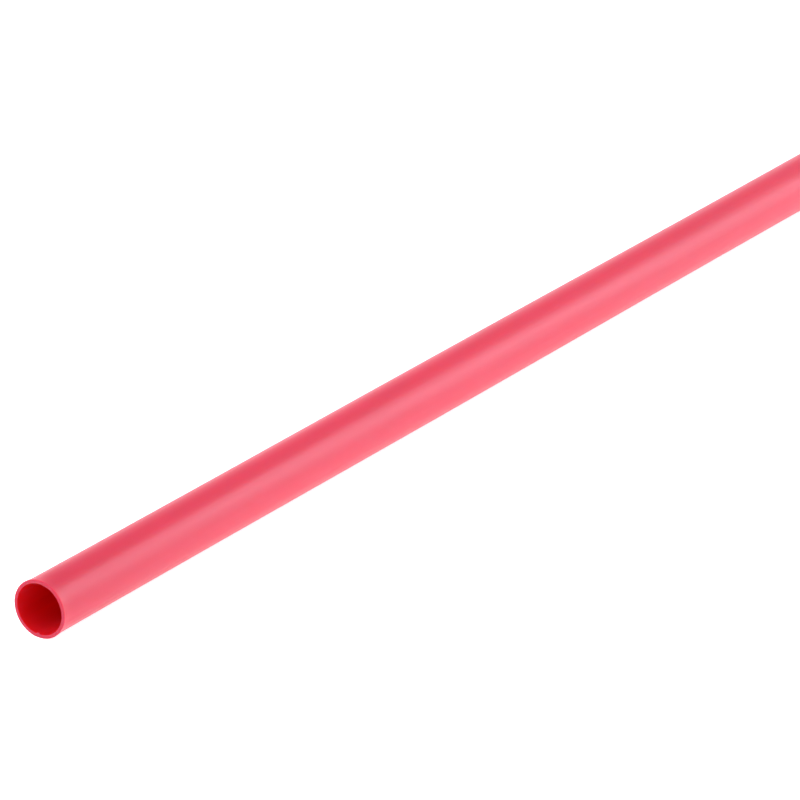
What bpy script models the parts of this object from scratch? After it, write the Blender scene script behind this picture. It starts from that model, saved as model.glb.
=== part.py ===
"""A cut length of red heat shrink tube, as supplied, lying on a level surface.

One extruded piece of polyolefin: a thin wall round an open bore, cut square at both ends. The cut has
opened each end into a faint bell. Metres, +Z up. The tube runs along X, and the origin is under its middle,
on the surface that it lies on.
"""

import math

import bpy

# Driving dimensions
TUBE_LENGTH = 0.300
BORE_DIAMETER = 0.0064
WALL_THICKNESS = 0.00045
BELL_GROWTH = 0.00009
BELL_LENGTH = 0.0018
LIP_RADIUS = 0.00005

# Fineness of the round shapes
SIDES = 32
BELL_STEPS = 3
LIP_STEPS = 2

# Sizes that follow from the driving dimensions
HALF_LENGTH = TUBE_LENGTH / 2
BORE_RADIUS = BORE_DIAMETER / 2
OUTER_RADIUS = BORE_RADIUS + WALL_THICKNESS
LIP_TOP = HALF_LENGTH - LIP_RADIUS
FACET_ANGLE = 2 * math.pi / SIDES
AXIS_HEIGHT = (OUTER_RADIUS + BELL_GROWTH) * math.cos(FACET_ANGLE / 2)

# Finish: satin crimson red, coloured all through
TUBE_RED = (0.76, 0.012, 0.035, 1.0)
TUBE_ROUGHNESS = 0.38

# Points nearer than this are one point: Blender's own distances suit larger things than a lip this fine
MERGE_DISTANCE = LIP_RADIUS / 5


def remove_start_objects():
    """Clears the objects of the scene that the script starts in."""
    for obj in list(bpy.data.objects):
        bpy.data.objects.remove(obj, do_unlink=True)


def red_polyolefin():
    """The tube's plastic."""
    material = bpy.data.materials.new("red_polyolefin")
    material.use_nodes = True
    shader = material.node_tree.nodes["Principled BSDF"]
    shader.inputs["Base Color"].default_value = TUBE_RED
    shader.inputs["Roughness"].default_value = TUBE_ROUGHNESS
    shader.inputs["Metallic"].default_value = 0.0
    return material


def belled_side(radius):
    """One skin of the wall as (radius, height) pairs, from the lip down to where the bell begins."""
    points = []
    for step in range(BELL_STEPS + 1):
        share = step / BELL_STEPS
        growth = BELL_GROWTH * (1 - share) ** 2
        points.append((radius + growth, LIP_TOP - share * BELL_LENGTH))
    return points


def lip_corner(centre_radius, start, end):
    """The inner points of a lip's rounded corner, swept from one angle to another about its centre."""
    points = []
    for step in range(1, LIP_STEPS + 1):
        angle = start + (end - start) * step / LIP_STEPS
        across = centre_radius + LIP_RADIUS * math.cos(angle)
        points.append((across, LIP_TOP + LIP_RADIUS * math.sin(angle)))
    return points


def wall_outline():
    """Half of the wall's section: up the bore from the tube's middle, over the lip and down the outer skin."""
    quarter = math.pi / 2
    inner_corner = BORE_RADIUS + BELL_GROWTH + LIP_RADIUS
    outer_corner = OUTER_RADIUS + BELL_GROWTH - LIP_RADIUS
    bore_side = list(reversed(belled_side(BORE_RADIUS)))
    over_bore_corner = lip_corner(inner_corner, 2 * quarter, quarter)
    cut_face_rim = [(outer_corner, HALF_LENGTH)]
    over_outer_corner = lip_corner(outer_corner, quarter, 0)
    outer_side = belled_side(OUTER_RADIUS)[1:]
    return (
        [(BORE_RADIUS, 0.0)]
        + bore_side
        + over_bore_corner
        + cut_face_rim
        + over_outer_corner
        + outer_side
        + [(OUTER_RADIUS, 0.0)]
    )


def heat_shrink_tube(collection):
    """The tube: half of the wall's section turned about the axis, and mirrored at the tube's middle."""
    outline = wall_outline()
    points = [(radius, 0.0, height) for radius, height in outline]
    edges = [(index, index + 1) for index in range(len(points) - 1)]
    mesh = bpy.data.meshes.new("heat_shrink_tube")
    mesh.from_pydata(points, edges, [])
    mesh.materials.append(red_polyolefin())
    tube = bpy.data.objects.new("heat_shrink_tube", mesh)
    collection.objects.link(tube)

    turn = tube.modifiers.new("turn_wall", "SCREW")
    turn.axis = "Z"
    turn.angle = 2 * math.pi
    turn.steps = SIDES
    turn.render_steps = SIDES
    turn.use_merge_vertices = True
    turn.merge_threshold = MERGE_DISTANCE
    turn.use_smooth_shade = True

    other_half = tube.modifiers.new("other_half", "MIRROR")
    other_half.use_axis = (False, False, True)
    other_half.use_mirror_merge = True
    other_half.merge_threshold = MERGE_DISTANCE

    # The turned axis is laid along X, then rolled by half a facet so that a facet and not an edge is lowest
    tube.rotation_mode = "YXZ"
    tube.rotation_euler = (FACET_ANGLE / 2, math.pi / 2, 0.0)
    tube.location = (0.0, 0.0, AXIS_HEIGHT)
    return tube


def main():
    remove_start_objects()
    collection = bpy.data.collections.new("heat_shrink_tube")
    bpy.context.scene.collection.children.link(collection)
    heat_shrink_tube(collection)
    bpy.context.view_layer.update()


main()
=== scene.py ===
"""A cut length of red heat shrink tube in a plain white studio.

The tube is one extruded piece of polyolefin with a thin wall. It lies on its side along X, and the camera
looks down on one cut end and along the tube, which runs out of the frame. Metres, +Z up.
"""

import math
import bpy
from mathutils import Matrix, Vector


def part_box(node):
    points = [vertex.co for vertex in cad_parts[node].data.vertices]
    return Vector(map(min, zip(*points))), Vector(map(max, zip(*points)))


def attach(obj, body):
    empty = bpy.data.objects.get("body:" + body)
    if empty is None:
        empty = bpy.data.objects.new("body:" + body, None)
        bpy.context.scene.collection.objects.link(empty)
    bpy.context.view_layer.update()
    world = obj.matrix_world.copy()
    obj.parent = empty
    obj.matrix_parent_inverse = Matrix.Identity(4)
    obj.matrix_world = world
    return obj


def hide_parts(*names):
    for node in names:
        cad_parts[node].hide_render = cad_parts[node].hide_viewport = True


bl_info = {
    "name": "Heat shrink tube",
    "version": (1, 0, 0),
    "blender": (4, 5, 0),
    "location": "View3D > Sidebar > Shrink tube",
    "description": "Makes a cut length of red heat shrink tube, and a plain white studio round it",
    "category": "Add Mesh",
}

import bpy
import numpy as np
from bpy.props import FloatProperty, FloatVectorProperty, IntProperty, PointerProperty, StringProperty
from mathutils import Matrix, Vector

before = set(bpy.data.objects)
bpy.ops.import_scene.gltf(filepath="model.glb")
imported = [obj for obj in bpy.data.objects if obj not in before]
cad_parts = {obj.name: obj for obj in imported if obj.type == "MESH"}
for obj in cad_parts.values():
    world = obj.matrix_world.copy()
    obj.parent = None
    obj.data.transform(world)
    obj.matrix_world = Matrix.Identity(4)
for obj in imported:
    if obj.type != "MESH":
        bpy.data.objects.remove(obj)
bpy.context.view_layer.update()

TUBE_NODE = "heat_shrink_tube"
TUBE_BODY = "root"
MM = 0.001

low_corner, high_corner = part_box(TUBE_NODE)

# Where the burr is, round the tube from its -Y side over the top: 270 degrees is the lowest line
BURR_ANGLE = math.radians(266)
BURR_HALF_WIDTH = 0.2 * MM

# Degrees round each edge of the lip, from the wall's side to the cut face
LIP_DEGREES = (22.5, 45.0, 67.5, 90.0)

# How far round the outer edge the blade has dragged the skin, in degrees
DRAGGED_SKIN = 45.0

# Waves round a cut: how many, share of its unevenness, start in radians, and how far they turn with it
CUT_WAVES = (
    (1, 0.55, 0.0, -1.0),
    (2, 0.30, 0.0, 1.9),
    (5, 0.22, 0.4, 1.0),
    (9, 0.14, 0.0, 2.2),
)

# The two ends were cut at different times, so the waves of each are turned by another angle, in radians
NEAR_CUT_TURN = 0.7
FAR_CUT_TURN = 2.8

# How far from a cut its unevenness has faded to about a third
CUT_REACH = 1.2 * MM

# The oval section: its lean at the tube's middle in radians, the length in which it turns by one radian,
# and how far from each end it starts to fade
OVAL_LEAN = 0.6
OVAL_TURN = 40 * MM
OVAL_FADE = 12 * MM

# Places in the tube's list of materials
OUTER_SKIN = 0
CUT_FACE = 1
BORE_WALL = 2

# Places of the colours and the result on a colour Mix node, whose sockets share their names with other types
MIX_SHARE = 0
MIX_FIRST = 6
MIX_SECOND = 7
MIX_RESULT = 2

POLYOLEFIN_IOR = 1.5

# The range that nearly all values of a noise texture lie in
NOISE_RANGE = {"From Min": 0.3, "From Max": 0.7}

# Patterns in the plastic: how many there are to a millimetre, the long way's scale as a share of that, and
# their depth
DIE_LINES_PER_MM = 2.2
DIE_LINES_LONG_WAY = 1 / 60
SKIN_LINE_DEPTH = 0.001 * MM
BORE_LINE_DEPTH = 0.002 * MM
PEEL_CELLS_PER_MM = 0.7
PEEL_LONG_WAY = 0.4
PEEL_DEPTH = 0.003 * MM
PIGMENT_CLOUDS_PER_MM = 0.16
PIGMENT_LONG_WAY = 0.25
SCRATCHES_PER_MM = 7.0
SCRATCHES_LONG_WAY = 0.06
SCRATCH_DEPTH = 0.006 * MM

# The skin at a cut end, as a share of its colour elsewhere: painted shade, a tone darker towards each end
END_SHADE_TONE = 0.9

# What the softboxes are turned to: the middle of the stretch that the camera sees, and nearer to the cut end
SEEN_MIDDLE = Vector((-0.05, 0.0, 0.0))
NEAR_PART = Vector((-0.10, 0.0, 0.0))

SENSOR_WIDTH = 36.0


class ShrinkTubeSettings(bpy.types.PropertyGroup):
    """Sizes and colours of the tube."""

    length: FloatProperty(
        name="Length",
        description="Length of the piece from one cut end to the other",
        default=high_corner.x - low_corner.x,
        min=0.02,
        unit="LENGTH",
        precision=4,
    )
    end_diameter: FloatProperty(
        name="End diameter",
        description="Outside diameter at the cut ends, where the blade has opened the tube a little",
        default=high_corner.z - low_corner.z,
        min=0.001,
        unit="LENGTH",
        precision=5,
    )
    wall: FloatProperty(
        name="Wall",
        description="Thickness of the wall as supplied, before any heat",
        default=0.45 * MM,
        min=0.1 * MM,
        unit="LENGTH",
        precision=5,
    )
    bell_growth: FloatProperty(
        name="Bell growth",
        description="How far the wall has moved outwards at a cut end",
        default=0.09 * MM,
        min=0.0,
        unit="LENGTH",
        precision=5,
    )
    bell_length: FloatProperty(
        name="Bell length",
        description="How far from a cut end the wall starts to open",
        default=1.8 * MM,
        min=0.1 * MM,
        unit="LENGTH",
        precision=5,
    )
    lip_radius: FloatProperty(
        name="Lip radius",
        description="Rounding of the cut edge on the outside",
        default=0.11 * MM,
        min=0.005 * MM,
        unit="LENGTH",
        precision=6,
    )
    bore_edge_radius: FloatProperty(
        name="Bore edge radius",
        description="Rounding of the cut edge on the bore's side",
        default=0.05 * MM,
        min=0.005 * MM,
        unit="LENGTH",
        precision=6,
    )
    burr_height: FloatProperty(
        name="Burr height",
        description="How far the burr at the bottom of the near cut stands into the bore",
        default=0.24 * MM,
        min=0.0,
        unit="LENGTH",
        precision=6,
    )
    ovality: FloatProperty(
        name="Ovality",
        description="How far the section is out of round, from reeling and handling",
        default=0.03 * MM,
        min=0.0,
        unit="LENGTH",
        precision=6,
    )
    cut_unevenness: FloatProperty(
        name="Cut unevenness",
        description="How far the hand cut strays from a flat plane",
        default=0.035 * MM,
        min=0.0,
        unit="LENGTH",
        precision=6,
    )
    # Painted shade: how far from each cut end the skin colour is painted a tone darker, for the dimmer light
    # there
    shaded_end_length: FloatProperty(
        name="Handled length",
        description="How far from each cut end the skin is a tone darker from handling",
        default=45.0 * MM,
        min=1.0 * MM,
        unit="LENGTH",
        precision=4,
    )
    sides: IntProperty(
        name="Sides",
        description="Number of faces round the tube",
        default=160,
        min=24,
        max=256,
    )
    stations: IntProperty(
        name="Stations",
        description="Number of rings along each side of the wall, closer together towards the ends",
        default=150,
        min=24,
        max=300,
    )
    skin_colour: StringProperty(
        name="Skin colour",
        description="sRGB hex colour of the outer skin",
        default="#BE0F38",
    )
    bore_colour: StringProperty(
        name="Bore colour",
        description="sRGB hex colour of the bore wall",
        default="#AA0612",
    )
    cut_colour: StringProperty(
        name="Cut colour",
        description="sRGB hex colour of the freshly cut wall",
        default="#9E1A34",
    )


class StudioSettings(bpy.types.PropertyGroup):
    """Light, floor and camera of the studio."""

    camera_azimuth: FloatProperty(
        name="Camera azimuth",
        description="Direction that the camera looks in, from +X towards +Y",
        default=math.radians(33.79),
        subtype="ANGLE",
    )
    camera_elevation: FloatProperty(
        name="Camera elevation",
        description="How far the camera looks down",
        default=math.radians(22.00),
        subtype="ANGLE",
    )
    camera_depth: FloatProperty(
        name="Camera depth",
        description="Distance from the camera to the near cut end, along the view",
        default=0.6032,
        min=0.05,
        unit="LENGTH",
    )
    camera_lens: FloatProperty(
        name="Camera lens",
        description="Focal length in millimetres on a 36 mm wide sensor",
        default=230.8,
        min=10.0,
    )
    end_across: FloatProperty(
        name="End across",
        description="Where the middle of the near end falls in the frame, as a share from its left side",
        default=0.0489,
        min=0.0,
        max=1.0,
        precision=5,
    )
    end_down: FloatProperty(
        name="End down",
        description="Where the middle of the near end falls in the frame, as a share from its top",
        default=0.7618,
        min=0.0,
        max=1.0,
        precision=5,
    )
    floor_size: FloatProperty(
        name="Floor size",
        description="Width of the square floor",
        default=12.0,
        min=1.0,
        unit="LENGTH",
    )
    floor_colour: StringProperty(
        name="Floor colour",
        description="sRGB hex colour of the floor",
        default="#E6E6E6",
    )
    floor_glow: FloatProperty(
        name="Floor glow",
        description="Light that the floor gives by itself, where 1 is plain white",
        default=0.76,
        min=0.0,
    )
    bright_wall: FloatProperty(
        name="Bright wall",
        description="Brightness of the room on its lit side, where 1 is plain white",
        default=1.75,
        min=0.0,
    )
    dim_wall: FloatProperty(
        name="Dim wall",
        description="Brightness of the room on its other sides, where 1 is plain white",
        default=0.8,
        min=0.0,
    )
    bright_side: FloatVectorProperty(
        name="Bright side",
        description="Direction of the room's lit side, seen from the tube",
        default=(0.45, -0.89, 0.0),
        subtype="DIRECTION",
    )
    softbox_colour: StringProperty(
        name="Softbox colour",
        description="sRGB hex colour of the softboxes, a slightly cool daylight white",
        default="#F0F0FF",
    )
    right_softbox_power: FloatProperty(
        name="Right softbox power",
        description="Power in watts of the softbox on the right, which lays the pale band along the tube",
        default=9.4,
        min=0.0,
    )
    low_softbox_power: FloatProperty(
        name="Low softbox power",
        description="Power in watts of the softbox near the floor, which softens the band's lower side",
        default=0.95,
        min=0.0,
    )
    back_softbox_power: FloatProperty(
        name="Back softbox power",
        description="Power in watts of the softbox behind the tube, which gives its upper edge a pale rim",
        default=1.0,
        min=0.0,
    )
    overhead_softbox_power: FloatProperty(
        name="Overhead softbox power",
        description="Power in watts of the large softbox high in front of the near end, on its left",
        default=30.0,
        min=0.0,
    )


def linear_colour(hex_colour):
    """An sRGB hex colour such as #C80F37 as the linear colour with alpha that a shader takes."""
    digits = hex_colour.lstrip("#")
    channels = []
    for start in (0, 2, 4):
        value = int(digits[start : start + 2], 16) / 255
        if value <= 0.04045:
            channels.append(value / 12.92)
        else:
            channels.append(((value + 0.055) / 1.055) ** 2.4)
    return (*channels, 1.0)


def shaded(colour, share):
    """A colour made darker or lighter by a factor."""
    return tuple(min(1.0, channel * share) for channel in colour[:3]) + (1.0,)


def add_node(tree, kind, settings=None, values=None, links=None):
    """Adds a node. Settings are its own fields, values go to its sockets, and links join them to outputs."""
    node = tree.nodes.new(kind)
    for field, value in (settings or {}).items():
        setattr(node, field, value)
    for socket, value in (values or {}).items():
        node.inputs[socket].default_value = value
    for socket, output in (links or {}).items():
        tree.links.new(output, node.inputs[socket])
    return node


def start_material(name):
    """A new material with its tree and its shader."""
    material = bpy.data.materials.new(name)
    material.use_nodes = True
    tree = material.node_tree
    return material, tree, tree.nodes["Principled BSDF"]


def place_in_millimetres(tree):
    """The surface's place along the tube's own axes, in millimetres."""
    place = add_node(tree, "ShaderNodeTexCoord")
    millimetres = add_node(
        tree,
        "ShaderNodeMapping",
        values={"Scale": (1 / MM, 1 / MM, 1 / MM)},
        links={"Vector": place.outputs["Object"]},
    )
    return millimetres.outputs["Vector"]


def die_lines(tree, millimetres):
    """The pattern of the die's lines: about 0.45 mm apart round the tube, and 60 times as long along it."""
    along = add_node(
        tree,
        "ShaderNodeMapping",
        values={"Scale": (DIE_LINES_LONG_WAY, 1.0, 1.0)},
        links={"Vector": millimetres},
    )
    lines = add_node(
        tree,
        "ShaderNodeTexNoise",
        values={"Scale": DIE_LINES_PER_MM, "Detail": 3.0, "Roughness": 0.5},
        links={"Vector": along.outputs["Vector"]},
    )
    return lines.outputs["Fac"]


def orange_peel(tree, millimetres):
    """The pattern of the orange peel that blowing the tube out leaves: shallow, soft cells 1.5 mm wide."""
    along = add_node(
        tree,
        "ShaderNodeMapping",
        values={"Scale": (PEEL_LONG_WAY, 1.0, 1.0)},
        links={"Vector": millimetres},
    )
    peel = add_node(
        tree,
        "ShaderNodeTexNoise",
        values={"Scale": PEEL_CELLS_PER_MM, "Detail": 2.0, "Roughness": 0.5},
        links={"Vector": along.outputs["Vector"]},
    )
    return peel.outputs["Fac"]


def pigment_clouds(tree, millimetres):
    """The pattern of the pigment, a little uneven over about 6 mm round the tube and 25 mm along it."""
    along = add_node(
        tree,
        "ShaderNodeMapping",
        values={"Scale": (PIGMENT_LONG_WAY, 1.0, 1.0)},
        links={"Vector": millimetres},
    )
    clouds = add_node(
        tree,
        "ShaderNodeTexNoise",
        values={"Scale": PIGMENT_CLOUDS_PER_MM, "Detail": 2.0, "Roughness": 0.5},
        links={"Vector": along.outputs["Vector"]},
    )
    return clouds.outputs["Fac"]


def blade_scratches(tree, millimetres):
    """The pattern of the blade's scratches: up and down the face, as the blade went, about 0.15 mm apart."""
    down = add_node(
        tree,
        "ShaderNodeMapping",
        values={"Scale": (1.0, 1.0, SCRATCHES_LONG_WAY)},
        links={"Vector": millimetres},
    )
    scratches = add_node(
        tree,
        "ShaderNodeTexNoise",
        values={"Scale": SCRATCHES_PER_MM, "Detail": 3.0, "Roughness": 0.5},
        links={"Vector": down.outputs["Vector"]},
    )
    return scratches.outputs["Fac"]


def uneven_colour(tree, colour, pattern, change):
    """A colour that a pattern makes a little darker and lighter, by a share of it either way."""
    share = add_node(tree, "ShaderNodeMapRange", values=NOISE_RANGE, links={"Value": pattern})
    uneven = add_node(
        tree,
        "ShaderNodeMix",
        settings={"data_type": "RGBA"},
        values={MIX_FIRST: shaded(colour, 1 - change), MIX_SECOND: shaded(colour, 1 + change)},
        links={MIX_SHARE: share.outputs["Result"]},
    )
    return uneven.outputs[MIX_RESULT]


def painted_end_shade(tree, millimetres, settings, colour, skin):
    """The skin's colour with painted shade: a tone darker towards each cut, standing in for the light
    falling off at the ends.
    """
    half = settings.length / 2
    along = add_node(tree, "ShaderNodeSeparateXYZ", links={"Vector": millimetres})
    from_middle = add_node(
        tree,
        "ShaderNodeMath",
        settings={"operation": "ABSOLUTE"},
        links={0: along.outputs["X"]},
    )
    # Painted shade: the skin's colour fades to a tone darker over the last stretch to each cut
    end_shade_share = add_node(
        tree,
        "ShaderNodeMapRange",
        values={"From Min": (half - settings.shaded_end_length) / MM, "From Max": half / MM},
        links={"Value": from_middle.outputs["Value"]},
    )
    end_shaded = add_node(
        tree,
        "ShaderNodeMix",
        settings={"data_type": "RGBA"},
        values={MIX_SECOND: shaded(colour, END_SHADE_TONE)},
        links={MIX_SHARE: end_shade_share.outputs["Result"], MIX_FIRST: skin},
    )
    return end_shaded.outputs[MIX_RESULT]


def join_plastic(tree, shader, colour, gloss, relief, soak, reach):
    """Joins colour, gloss and relief to the shader of a plastic that light soaks into.

    Soak is how far red, green and blue light go in it, as shares of the reach.
    """
    tree.links.new(colour, shader.inputs["Base Color"])
    tree.links.new(gloss.outputs["Result"], shader.inputs["Roughness"])
    tree.links.new(relief.outputs["Normal"], shader.inputs["Normal"])
    shader.inputs["IOR"].default_value = POLYOLEFIN_IOR
    shader.inputs["Subsurface Weight"].default_value = 1.0
    shader.inputs["Subsurface Radius"].default_value = soak
    shader.inputs["Subsurface Scale"].default_value = reach


def outer_skin_material(settings):
    """Crosslinked polyolefin, extruded and then blown out to size.

    To the eye that is a satin skin with a soft, milky depth, since the thin wall lets red light through,
    and with faint lines along it from the die.
    """
    material, tree, shader = start_material("polyolefin_extruded_skin")
    millimetres = place_in_millimetres(tree)
    colour = linear_colour(settings.skin_colour)
    clouded = uneven_colour(tree, colour, pigment_clouds(tree, millimetres), change=0.03)
    # Painted shade: the skin is painted a tone darker towards each cut end
    end_shaded = painted_end_shade(tree, millimetres, settings, colour, clouded)

    # The die's lines change the gloss a little, and are about a micron deep
    lines = die_lines(tree, millimetres)
    gloss = add_node(
        tree,
        "ShaderNodeMapRange",
        values={**NOISE_RANGE, "To Min": 0.34, "To Max": 0.39},
        links={"Value": lines},
    )
    peel_relief = add_node(
        tree,
        "ShaderNodeBump",
        values={"Strength": 1.0, "Distance": PEEL_DEPTH},
        links={"Height": orange_peel(tree, millimetres)},
    )
    line_relief = add_node(
        tree,
        "ShaderNodeBump",
        values={"Strength": 1.0, "Distance": SKIN_LINE_DEPTH},
        links={"Height": lines, "Normal": peel_relief.outputs["Normal"]},
    )
    join_plastic(tree, shader, end_shaded, gloss, line_relief, soak=(1.0, 0.16, 0.24), reach=0.8 * MM)
    return material


def bore_wall_material(settings):
    """The same plastic inside, shaped by the die's pin and never rubbed: duller, with the same lines."""
    material, tree, shader = start_material("polyolefin_bore_wall")
    lines = die_lines(tree, place_in_millimetres(tree))
    wall = uneven_colour(tree, linear_colour(settings.bore_colour), lines, change=0.04)
    gloss = add_node(
        tree,
        "ShaderNodeMapRange",
        values={**NOISE_RANGE, "To Min": 0.50, "To Max": 0.60},
        links={"Value": lines},
    )
    line_relief = add_node(
        tree,
        "ShaderNodeBump",
        values={"Strength": 1.0, "Distance": BORE_LINE_DEPTH},
        links={"Height": lines},
    )
    join_plastic(tree, shader, wall, gloss, line_relief, soak=(1.0, 0.05, 0.05), reach=1.6 * MM)
    shader.inputs["Specular IOR Level"].default_value = 0.2
    return material


def cut_face_material(settings):
    """The wall where the blade went through: matt, with the blade's own scratches down it."""
    material, tree, shader = start_material("polyolefin_fresh_cut")
    scratches = blade_scratches(tree, place_in_millimetres(tree))
    face = uneven_colour(tree, linear_colour(settings.cut_colour), scratches, change=0.1)
    gloss = add_node(
        tree,
        "ShaderNodeMapRange",
        values={**NOISE_RANGE, "To Min": 0.55, "To Max": 0.70},
        links={"Value": scratches},
    )
    scratch_relief = add_node(
        tree,
        "ShaderNodeBump",
        values={"Strength": 1.0, "Distance": SCRATCH_DEPTH},
        links={"Height": scratches},
    )
    join_plastic(tree, shader, face, gloss, scratch_relief, soak=(1.0, 0.1, 0.15), reach=0.5 * MM)
    shader.inputs["Specular IOR Level"].default_value = 0.35
    return material


def wall_side(settings, end_radius, edge_radius, finish):
    """One side of the wall as (x, radius, finish) points, belled at both ends and closer together there."""
    reach = settings.length / 2 - edge_radius
    along = -reach * np.cos(np.linspace(0.0, math.pi, settings.stations))
    from_end = np.clip((reach - np.abs(along)) / settings.bell_length, 0.0, 1.0)
    radii = end_radius - settings.bell_growth * (1 - (1 - from_end) ** 2)
    return [(x, radius, finish) for x, radius in zip(along, radii)]


def lip_points(settings, outer_radius):
    """The lip as (distance in from the cut plane, radius, finish) points, from the skin to the bore."""
    outer_centre = outer_radius - settings.lip_radius
    inner_centre = outer_radius - settings.wall + settings.bore_edge_radius
    points = []
    for degrees in LIP_DEGREES:
        # The skin is dragged over the outer edge by the blade, so it reaches some way round it
        finish = OUTER_SKIN if degrees <= DRAGGED_SKIN else CUT_FACE
        angle = math.radians(degrees)
        inwards = settings.lip_radius * (1 - math.sin(angle))
        points.append((inwards, outer_centre + settings.lip_radius * math.cos(angle), finish))
    points.append((0.0, (outer_centre + inner_centre) / 2, CUT_FACE))
    for degrees in reversed(LIP_DEGREES):
        angle = math.radians(degrees)
        inwards = settings.bore_edge_radius * (1 - math.sin(angle))
        points.append((inwards, inner_centre - settings.bore_edge_radius * math.cos(angle), CUT_FACE))
    return points


def wall_loop(settings):
    """The wall's section as a closed loop of (x, radius, finish), from the near end's outer edge onwards."""
    half = settings.length / 2
    outer_radius = settings.end_diameter / 2
    outer = wall_side(settings, outer_radius, settings.lip_radius, OUTER_SKIN)
    inner = wall_side(settings, outer_radius - settings.wall, settings.bore_edge_radius, BORE_WALL)
    lip = lip_points(settings, outer_radius)
    far_lip = [(half - inwards, radius, finish) for inwards, radius, finish in lip]
    near_lip = [(inwards - half, radius, finish) for inwards, radius, finish in reversed(lip)]
    return outer + far_lip + inner[::-1] + near_lip


def cut_stray(settings, angle, turn):
    """How far a cut strays from its plane, round the tube."""
    waves = sum(
        share * np.cos(number * angle + start + turned * turn) for number, share, start, turned in CUT_WAVES
    )
    return settings.cut_unevenness * waves


def burr_rise(settings, x, radius, angle):
    """How far the burr stands into the bore: a shred that the blade left at the near cut."""
    outer_radius = settings.end_diameter / 2
    through_wall = np.clip((outer_radius - radius) / settings.wall, 0.0, 1.0)
    aside = (angle - BURR_ANGLE) * (outer_radius - settings.wall)
    behind = x + settings.length / 2
    spread = np.exp(-((aside / BURR_HALF_WIDTH) ** 2) - (behind / BURR_HALF_WIDTH) ** 2)
    return settings.burr_height * through_wall**2 * spread


def tube_points(settings, loop):
    """The surface's points: the wall's loop turned about the axis, with the strays of a real piece."""
    x, radius, _ = (np.array(column, float)[:, None] for column in zip(*loop))
    angle = np.linspace(0.0, 2 * math.pi, settings.sides, endpoint=False)[None, :]
    half = settings.length / 2
    centre_height = settings.end_diameter / 2

    # The section is a little oval, and the oval turns slowly along the tube
    lean = OVAL_LEAN + x / OVAL_TURN
    swell = settings.ovality * np.cos(2 * (angle - lean))
    # At the ends the oval fades, so that both lips rest on the floor
    fade = np.clip((half - np.abs(x)) / OVAL_FADE, 0.0, 1.0)
    bent = radius + swell * fade - burr_rise(settings, x, radius, angle)

    near = np.exp(-(x + half) / CUT_REACH) * cut_stray(settings, angle, NEAR_CUT_TURN)
    far = np.exp(-(half - x) / CUT_REACH) * cut_stray(settings, angle, FAR_CUT_TURN)
    points = np.empty((len(loop), settings.sides, 3))
    points[..., 0] = np.clip(x + near + far, -half, half)
    points[..., 1] = -bent * np.cos(angle)
    points[..., 2] = centre_height + bent * np.sin(angle)
    return points


def joined_rings(rings, sides):
    """Faces between neighbouring rings. The last ring joins the first, and each ring closes on itself."""
    ring = np.arange(rings)[:, None]
    side = np.arange(sides)[None, :]
    next_ring = (ring + 1) % rings
    next_side = (side + 1) % sides
    corners = [
        ring * sides + side,
        ring * sides + next_side,
        next_ring * sides + next_side,
        next_ring * sides + side,
    ]
    return np.stack(corners, axis=-1).reshape(-1, 4)


class MESH_OT_add_shrink_tube(bpy.types.Operator):
    """Add a cut length of heat shrink tube, lying along X"""

    bl_idname = "mesh.add_shrink_tube"
    bl_label = "Add shrink tube"
    bl_options = {"REGISTER", "UNDO"}

    def execute(self, context):
        settings = context.scene.shrink_tube
        loop = wall_loop(settings)
        points = tube_points(settings, loop)
        faces = joined_rings(len(loop), settings.sides)

        mesh = bpy.data.meshes.new("shrink_tube")
        mesh.from_pydata(points.reshape(-1, 3).tolist(), [], faces.tolist())
        mesh.materials.append(outer_skin_material(settings))
        mesh.materials.append(cut_face_material(settings))
        mesh.materials.append(bore_wall_material(settings))

        # A face between two finishes is part of the lip
        finish = np.array([point_finish for _, _, point_finish in loop])
        next_finish = np.roll(finish, -1)
        of_ring = np.where(finish == next_finish, finish, CUT_FACE)
        mesh.polygons.foreach_set("material_index", np.repeat(of_ring, settings.sides))
        mesh.shade_smooth()
        mesh.validate()
        mesh.update()

        tube = bpy.data.objects.new("shrink_tube", mesh)
        context.scene.collection.objects.link(tube)
        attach(tube, TUBE_BODY)
        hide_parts(TUBE_NODE)
        return {"FINISHED"}


def floor_material(settings):
    """Opal acrylic, polished dull and lit a little from below: an even white, with hardly a shadow on it."""
    material, _, shader = start_material("opal_acrylic_floor")
    shader.inputs["Base Color"].default_value = linear_colour(settings.floor_colour)
    shader.inputs["Roughness"].default_value = 0.9
    shader.inputs["Specular IOR Level"].default_value = 0.0
    shader.inputs["Emission Color"].default_value = (1.0, 1.0, 1.0, 1.0)
    shader.inputs["Emission Strength"].default_value = settings.floor_glow
    return material


def add_floor(settings):
    """The flat floor that the tube lies on."""
    half = settings.floor_size / 2
    corners = [(-half, -half, 0.0), (half, -half, 0.0), (half, half, 0.0), (-half, half, 0.0)]
    mesh = bpy.data.meshes.new("floor")
    mesh.from_pydata(corners, [], [(0, 1, 2, 3)])
    mesh.materials.append(floor_material(settings))
    floor = bpy.data.objects.new("floor", mesh)
    bpy.context.scene.collection.objects.link(floor)


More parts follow.
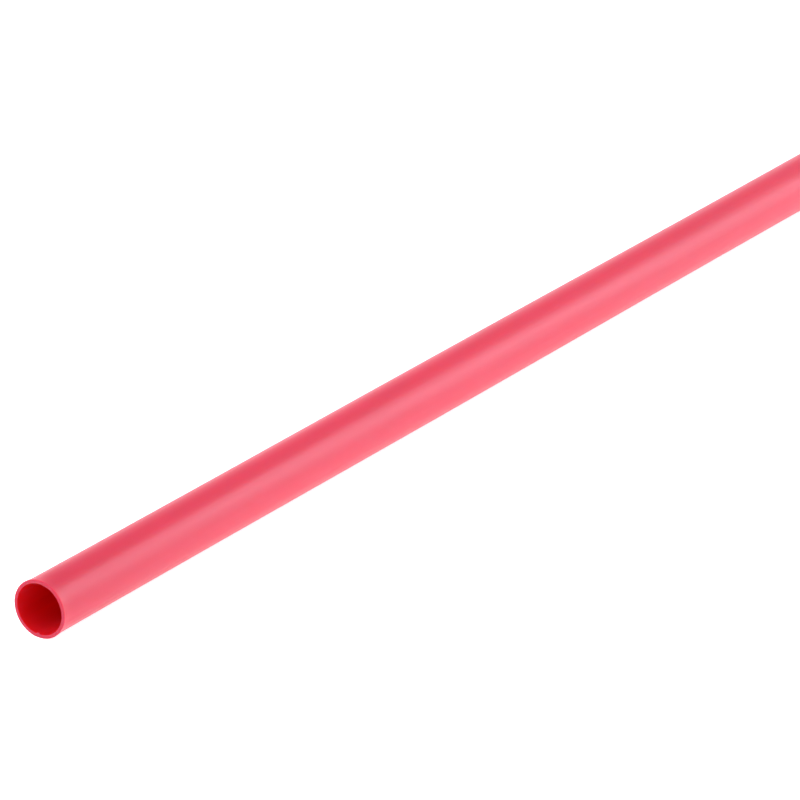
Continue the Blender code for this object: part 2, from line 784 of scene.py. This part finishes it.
def add_softboxes(settings):
    """The softboxes. Each has a name, place, aim, width and height in metres, and power in watts."""
    softboxes = (
        ("softbox_right", (1.36, -0.99, 1.03), SEEN_MIDDLE, (0.85, 1.05), settings.right_softbox_power),
        ("softbox_low", (0.74, -0.60, 0.16), SEEN_MIDDLE, (0.60, 0.30), settings.low_softbox_power),
        ("softbox_back", (1.54, 1.16, 0.38), SEEN_MIDDLE, (0.90, 0.66), settings.back_softbox_power),
        ("softbox_overhead", (-1.10, 0.62, 0.85), NEAR_PART, (1.20, 1.20), settings.overhead_softbox_power),
    )
    for name, place, aim, (width, height), power in softboxes:
        light = bpy.data.lights.new(name, "AREA")
        light.shape = "RECTANGLE"
        light.size = width
        light.size_y = height
        light.energy = power
        light.color = linear_colour(settings.softbox_colour)[:3]
        softbox = bpy.data.objects.new(name, light)
        softbox.location = place
        softbox.rotation_euler = (aim - Vector(place)).to_track_quat("-Z", "Y").to_euler()
        softbox.visible_camera = False
        bpy.context.scene.collection.objects.link(softbox)


def light_surround(settings):
    """The white room: pale walls all round, and brighter on the lit side."""
    world = bpy.data.worlds.new("white_room")
    world.use_nodes = True
    tree = world.node_tree
    background = tree.nodes["Background"]
    background.inputs["Color"].default_value = (1.0, 1.0, 1.0, 1.0)
    direction = add_node(tree, "ShaderNodeTexCoord")
    towards_bright = add_node(
        tree,
        "ShaderNodeVectorMath",
        settings={"operation": "DOT_PRODUCT"},
        values={1: Vector(settings.bright_side).normalized()},
        links={0: direction.outputs["Generated"]},
    )
    # The lit side is at its brightest within 26 degrees of its middle, and has faded at 84 degrees from it
    brightness = add_node(
        tree,
        "ShaderNodeMapRange",
        values={
            "From Min": 0.1,
            "From Max": 0.9,
            "To Min": settings.dim_wall,
            "To Max": settings.bright_wall,
        },
        links={"Value": towards_bright.outputs["Value"]},
    )
    tree.links.new(brightness.outputs["Result"], background.inputs["Strength"])
    bpy.context.scene.world = world


def add_camera(settings, near_end):
    """The camera, level with the horizon, placed so that the near cut end falls where the frame has it."""
    azimuth = settings.camera_azimuth
    elevation = settings.camera_elevation
    forward = Vector(
        (
            math.cos(elevation) * math.cos(azimuth),
            math.cos(elevation) * math.sin(azimuth),
            -math.sin(elevation),
        )
    )
    right = Vector((math.sin(azimuth), -math.cos(azimuth), 0.0))
    up = right.cross(forward)

    data = bpy.data.cameras.new("camera")
    data.lens = settings.camera_lens
    data.sensor_width = SENSOR_WIDTH
    data.clip_start = 0.01
    data.clip_end = 100.0
    frame_width = data.sensor_width / data.lens
    to_end = (
        forward
        + right * (settings.end_across - 0.5) * frame_width
        - up * (settings.end_down - 0.5) * frame_width
    )
    camera = bpy.data.objects.new("camera", data)
    turned = Matrix((right, up, -forward)).transposed().to_4x4()
    camera.matrix_world = Matrix.Translation(near_end - to_end * settings.camera_depth) @ turned
    bpy.context.scene.collection.objects.link(camera)
    bpy.context.scene.camera = camera


class SCENE_OT_add_white_studio(bpy.types.Operator):
    """Add the white floor, the lights and the camera"""

    bl_idname = "scene.add_white_studio"
    bl_label = "Add white studio"
    bl_options = {"REGISTER", "UNDO"}

    def execute(self, context):
        settings = context.scene.white_studio
        tube = context.scene.shrink_tube
        near_end = Vector((-tube.length / 2, 0.0, tube.end_diameter / 2))
        add_floor(settings)
        light_surround(settings)
        add_softboxes(settings)
        add_camera(settings, near_end)
        context.scene.view_settings.view_transform = "Standard"
        return {"FINISHED"}


class VIEW3D_PT_shrink_tube(bpy.types.Panel):
    """Sizes, colours and light of the shrink tube"""

    bl_label = "Shrink tube"
    bl_idname = "VIEW3D_PT_shrink_tube"
    bl_space_type = "VIEW_3D"
    bl_region_type = "UI"
    bl_category = "Shrink tube"

    def draw(self, context):
        layout = self.layout
        for settings in (context.scene.shrink_tube, context.scene.white_studio):
            column = layout.column(align=True)
            for name in settings.bl_rna.properties.keys():
                if name not in {"rna_type", "name"}:
                    column.prop(settings, name)
        layout.operator(MESH_OT_add_shrink_tube.bl_idname)
        layout.operator(SCENE_OT_add_white_studio.bl_idname)


CLASSES = (
    ShrinkTubeSettings,
    StudioSettings,
    MESH_OT_add_shrink_tube,
    SCENE_OT_add_white_studio,
    VIEW3D_PT_shrink_tube,
)


def register():
    for item in CLASSES:
        bpy.utils.register_class(item)
    bpy.types.Scene.shrink_tube = PointerProperty(type=ShrinkTubeSettings)
    bpy.types.Scene.white_studio = PointerProperty(type=StudioSettings)


def unregister():
    del bpy.types.Scene.white_studio
    del bpy.types.Scene.shrink_tube
    for item in reversed(CLASSES):
        bpy.utils.unregister_class(item)


def main():
    register()
    bpy.ops.mesh.add_shrink_tube()
    bpy.ops.scene.add_white_studio()


if __name__ == "__main__":
    main()
